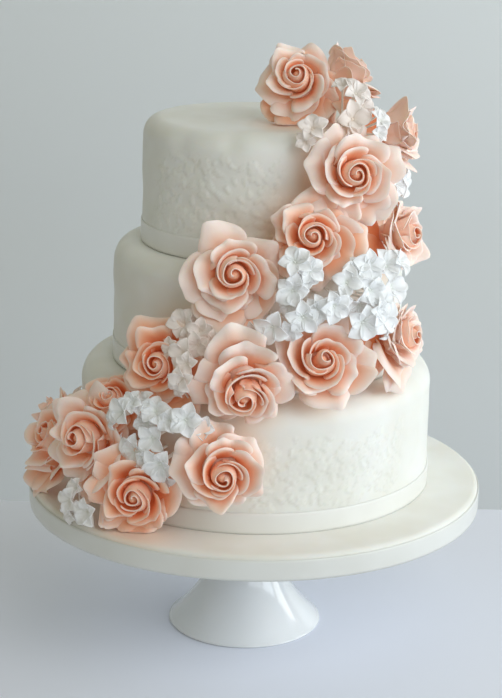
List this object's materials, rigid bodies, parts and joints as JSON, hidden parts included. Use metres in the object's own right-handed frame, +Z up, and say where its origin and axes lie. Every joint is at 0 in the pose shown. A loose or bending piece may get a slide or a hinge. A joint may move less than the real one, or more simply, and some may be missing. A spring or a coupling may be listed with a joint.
{
  "type": "tiered wedding cake",
  "caption": "Tiered white wedding cake on a footed porcelain stand, with an iced board, satin ribbons and a winding cascade of peach sugar roses and small white blossoms.",
  "frame": {"origin": "on the floor that the stand rests on, under the axis of the tiers", "axes": "+Z up along the tiers' axis; -Y towards the front, where the flower cascade is fullest; +X to the right of someone who looks at the front"},
  "size_m": [0.3322, 0.3322, 0.4361],
  "materials": {
    "icing": "soft ivory-white sugar paste, smooth with a low floral relief in places",
    "satin": "ivory-white satin ribbon",
    "porcelain": "glossy white glazed porcelain",
    "rose_paste": "matt peach flower paste, deeper in the folds and paler at the petals' edges",
    "white_paste": "matt white flower paste"
  },
  "bodies": {
    "root": {"stand": "porcelain", "iced_board": "icing", "ribbon_board": "satin", "tier_bottom": "icing", "ribbon_bottom": "satin", "tier_middle": "icing", "ribbon_middle": "satin", "tier_top": "icing", "ribbon_top": "satin", "rose_01": "rose_paste", "rose_02": "rose_paste", "rose_03": "rose_paste", "rose_04": "rose_paste", "rose_05": "rose_paste", "rose_06": "rose_paste", "rose_07": "rose_paste", "rose_08": "rose_paste", "rose_09": "rose_paste", "rose_10": "rose_paste", "rose_11": "rose_paste", "rose_12": "rose_paste", "rose_13": "rose_paste", "rose_14": "rose_paste", "rose_15": "rose_paste", "rose_16": "rose_paste", "rose_17": "rose_paste", "rose_18": "rose_paste", "rose_19": "rose_paste", "blossom_01": "white_paste", "blossom_02": "white_paste", "blossom_03": "white_paste", "blossom_04": "white_paste", "blossom_05": "white_paste", "blossom_06": "white_paste", "blossom_07": "white_paste", "blossom_08": "white_paste", "blossom_09": "white_paste", "blossom_10": "white_paste", "blossom_11": "white_paste", "blossom_12": "white_paste", "blossom_13": "white_paste", "blossom_14": "white_paste", "blossom_15": "white_paste", "blossom_16": "white_paste", "blossom_17": "white_paste", "blossom_18": "white_paste", "blossom_19": "white_paste", "blossom_20": "white_paste", "blossom_21": "white_paste", "blossom_22": "white_paste", "blossom_23": "white_paste", "blossom_24": "white_paste", "blossom_25": "white_paste", "blossom_26": "white_paste", "blossom_27": "white_paste", "blossom_28": "white_paste", "blossom_29": "white_paste", "blossom_30": "white_paste", "blossom_31": "white_paste", "blossom_32": "white_paste"}
  },
  "joints": []
}
